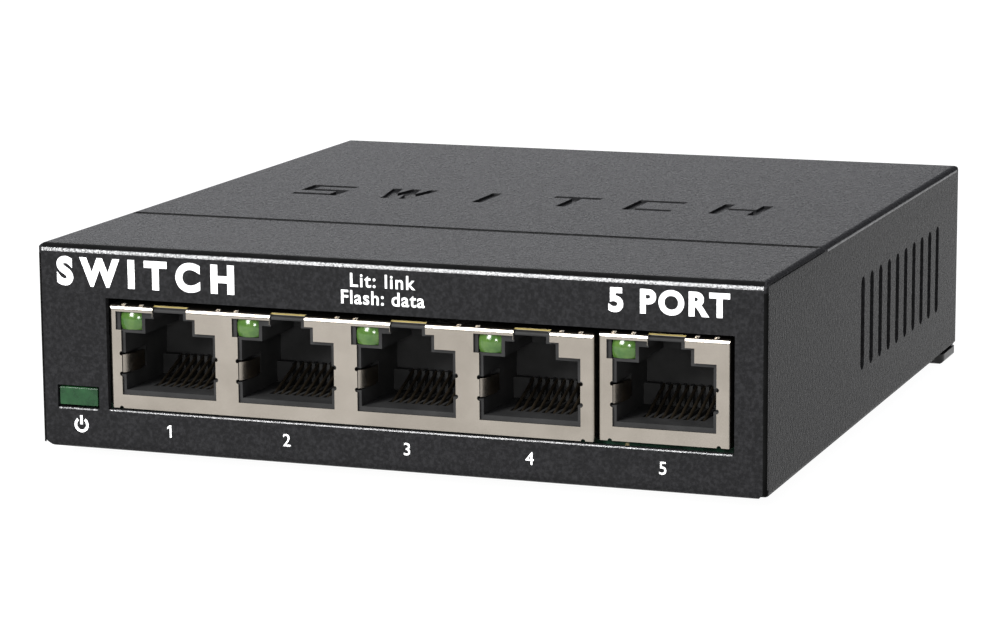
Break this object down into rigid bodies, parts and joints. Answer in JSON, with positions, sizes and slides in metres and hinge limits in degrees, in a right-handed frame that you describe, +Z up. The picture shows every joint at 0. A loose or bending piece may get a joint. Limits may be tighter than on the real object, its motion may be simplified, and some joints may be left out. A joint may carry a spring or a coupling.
{
  "type": "desktop network switch",
  "caption": "Desktop network switch: folded steel case, slide-off vented cover, shielded network jacks with port lamps in front, power inlet behind, board inside",
  "frame": {"origin": "centre of the bounding box at the bottom, on the surface the feet stand on", "axes": "+Z up, -Y out of the front panel, +X to the right as seen from the front"},
  "size_m": [0.094, 0.1028, 0.0272],
  "materials": {
    "case_front": "fine textured powder coat, charcoal black",
    "case_cover": "fine textured powder coat, charcoal",
    "black_screw": "black zinc",
    "foot_rubber": "semi-gloss",
    "label_film": "satin film",
    "board_laminate": "green solder mask",
    "steel_screw": "zinc plated",
    "standoff_metal": "bare",
    "jack_plastic": "moulded",
    "shield_nickel": "satin nickel plate",
    "contact_metal": "gold plate",
    "port_lamp": "clear green lens",
    "magnetics_case": "moulded",
    "lamp_body": "clear lens",
    "light_pipe": "clear green",
    "chip_plastic": "moulded",
    "pad_rubber": "matte",
    "sink_metal": "black anodised",
    "crystal_can": "drawn can",
    "ferrite": "matte",
    "capacitor_can": "satin",
    "resistor_body": "glazed top",
    "capacitor_body": "matte",
    "inlet_plastic": "moulded",
    "inlet_metal": "nickel plate"
  },
  "bodies": {
    "base": {"chassis": "case_front", "rubber_feet": "foot_rubber", "blank_label": "label_film", "circuit_board": "board_laminate", "board_screws": "steel_screw", "board_standoffs": "standoff_metal", "gang_jack_housing": "jack_plastic", "gang_jack_shield": "shield_nickel", "single_jack_housing": "jack_plastic", "single_jack_shield": "shield_nickel", "gang_contact_tails": "contact_metal", "single_contact_tails": "contact_metal", "port_led_1": "port_lamp", "port_led_2": "port_lamp", "port_led_3": "port_lamp", "port_led_4": "port_lamp", "port_led_5": "port_lamp", "magnetics_1": "magnetics_case", "magnetics_2": "magnetics_case", "magnetics_3": "magnetics_case", "magnetics_4": "magnetics_case", "magnetics_5": "magnetics_case", "power_led": "lamp_body", "power_light_pipe": "light_pipe", "switch_chip": "chip_plastic", "thermal_pad": "pad_rubber", "heat_sink": "sink_metal", "memory_chip": "chip_plastic", "crystal": "crystal_can", "regulator_chip": "chip_plastic", "power_inductor": "ferrite", "filter_capacitors": "capacitor_can", "protection_diode": "chip_plastic", "chip_resistors": "resistor_body", "chip_capacitors": "capacitor_body", "dc_jack_housing": "inlet_plastic", "dc_jack_pin": "inlet_metal", "dc_jack_spring": "inlet_metal"},
    "cover": {"top_cover": "case_cover", "cover_screws": "black_screw"},
    "port_1_springs": {"contact_springs_1": "contact_metal"},
    "port_2_springs": {"contact_springs_2": "contact_metal"},
    "port_3_springs": {"contact_springs_3": "contact_metal"},
    "port_4_springs": {"contact_springs_4": "contact_metal"},
    "port_5_springs": {"contact_springs_5": "contact_metal"}
  },
  "joints": [
    {"name": "cover_slide", "type": "slide", "parent": "base", "child": "cover", "axis": [0, 1, 0], "range_m": [0, 0.1]},
    {"name": "contact_press_1", "type": "hinge", "parent": "base", "child": "port_1_springs", "pos_m": [-0.02965, -0.04705, 0.0086], "axis": [-1, 0, 0], "range_deg": [0, 10], "stiffness_Nm_per_rad": 0.1},
    {"name": "contact_press_2", "type": "hinge", "parent": "base", "child": "port_2_springs", "pos_m": [-0.01388, -0.04705, 0.0086], "axis": [-1, 0, 0], "range_deg": [0, 10], "stiffness_Nm_per_rad": 0.1},
    {"name": "contact_press_3", "type": "hinge", "parent": "base", "child": "port_3_springs", "pos_m": [0.00189, -0.04705, 0.0086], "axis": [-1, 0, 0], "range_deg": [0, 10], "stiffness_Nm_per_rad": 0.1},
    {"name": "contact_press_4", "type": "hinge", "parent": "base", "child": "port_4_springs", "pos_m": [0.01766, -0.04705, 0.0086], "axis": [-1, 0, 0], "range_deg": [0, 10], "stiffness_Nm_per_rad": 0.1},
    {"name": "contact_press_5", "type": "hinge", "parent": "base", "child": "port_5_springs", "pos_m": [0.03438, -0.04705, 0.00893], "axis": [-1, 0, 0], "range_deg": [0, 10], "stiffness_Nm_per_rad": 0.1}
  ]
}
